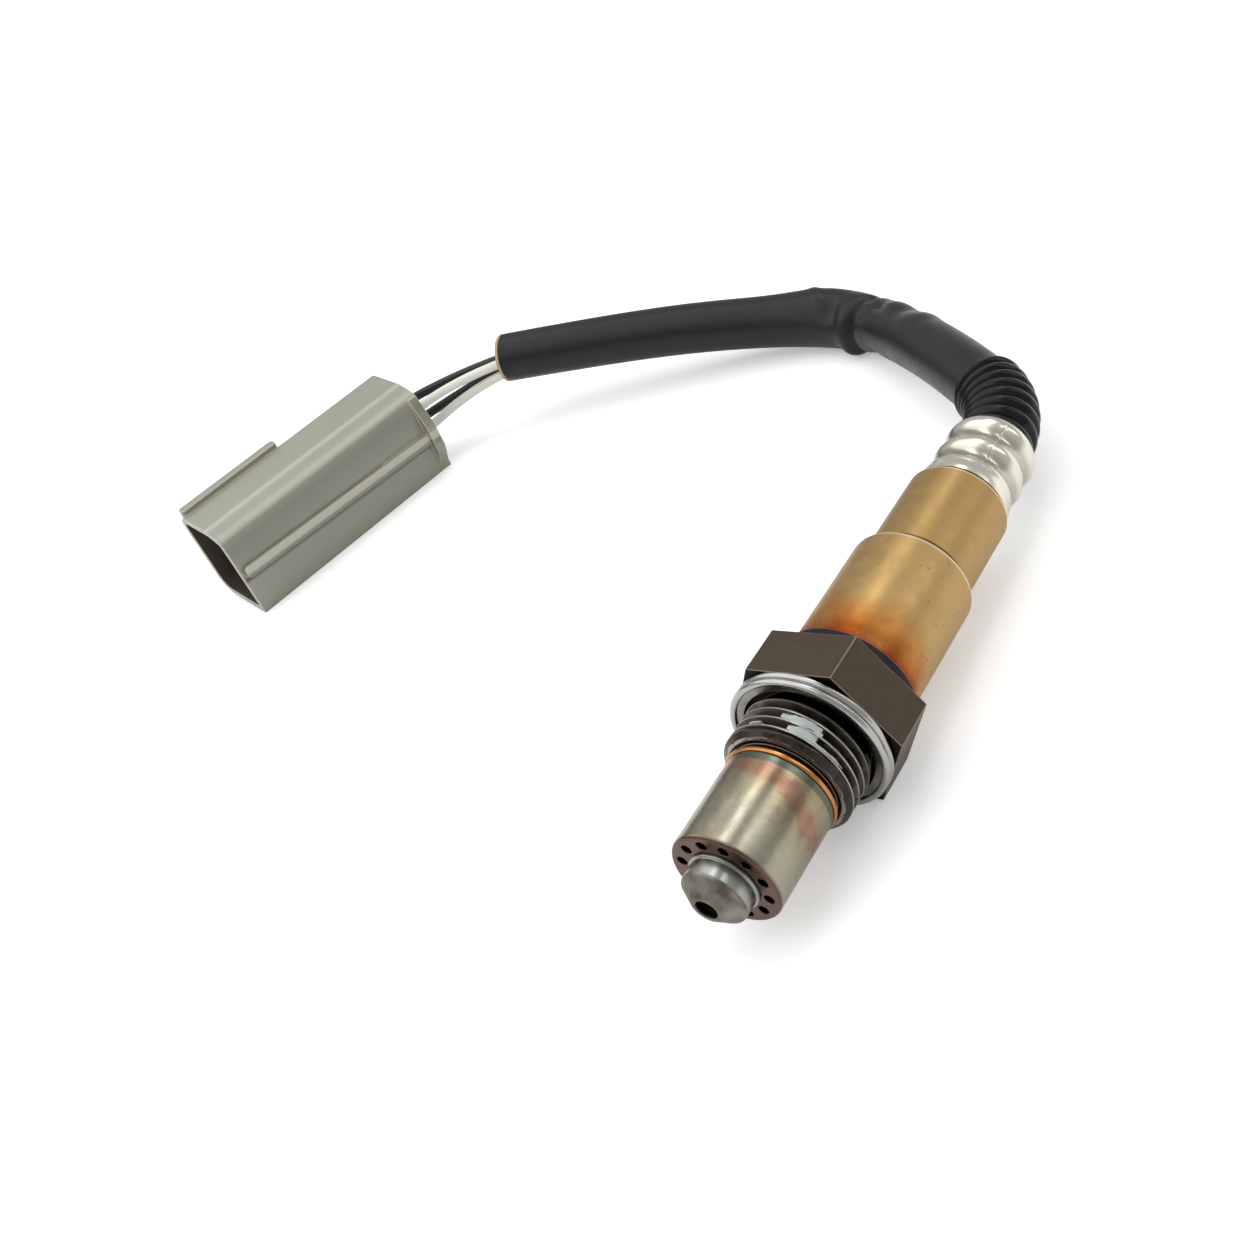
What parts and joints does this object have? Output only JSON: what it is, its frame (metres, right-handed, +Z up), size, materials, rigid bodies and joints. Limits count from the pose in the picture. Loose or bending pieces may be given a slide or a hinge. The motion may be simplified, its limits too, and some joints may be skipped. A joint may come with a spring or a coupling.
{
  "type": "oxygen sensor",
  "caption": "Heated exhaust oxygen sensor: vented steel nose, threaded hexagon with gasket, stepped shell, ribbed boot, sleeved lead and a keyed plug.",
  "frame": {"origin": "on the sensor's axis, in the plane of the hexagon's front face, where the gasket seats", "axes": "+Y along the sensor from its vented nose to the lead, +Z up: the hexagon lies on a flat at z = -11 mm; the lead bends towards -X"},
  "size_m": [0.1797, 0.1465, 0.0232],
  "materials": {
    "nose_steel": "satin, heat tinted",
    "bright_steel": "satin",
    "copper_ring": "polished",
    "housing_steel": "heat darkened",
    "gasket_steel": "satin",
    "element_ceramic": "matt",
    "core_ceramic": "matt",
    "talc": "pressed powder",
    "shell_steel": "heat tinted gold",
    "ferrule_steel": "satin",
    "contact_metal": "tin plated",
    "grommet_rubber": "matt",
    "boot_rubber": "glossy",
    "sleeve_plastic": "satin",
    "black_wire": "satin",
    "white_wire": "satin",
    "plug_plastic": "moulded, semi-matt",
    "lock_plastic": "moulded",
    "seal_rubber": "matt"
  },
  "bodies": {
    "root": {"outer_protection_tube": "nose_steel", "inner_protection_tube": "bright_steel", "tube_seam_ring": "copper_ring", "sensor_housing": "housing_steel", "sealing_gasket": "gasket_steel", "sensing_element": "element_ceramic", "lower_ceramic": "core_ceramic", "powder_packing": "talc", "upper_ceramic": "core_ceramic", "protective_shell": "shell_steel", "crimp_ferrule": "ferrule_steel", "contact_holder": "core_ceramic", "holder_clip": "bright_steel", "contact_springs": "contact_metal", "wire_crimps": "contact_metal", "grommet": "grommet_rubber", "cable_boot": "boot_rubber", "cable_sleeve": "sleeve_plastic", "wire_black_signal": "black_wire", "wire_black_heater": "black_wire", "wire_white_signal": "white_wire", "wire_white_heater": "white_wire", "connector_housing": "plug_plastic", "terminal_lock": "lock_plastic", "terminal_pins": "contact_metal", "wire_seal": "seal_rubber", "seal_retainer": "lock_plastic"}
  },
  "joints": []
}
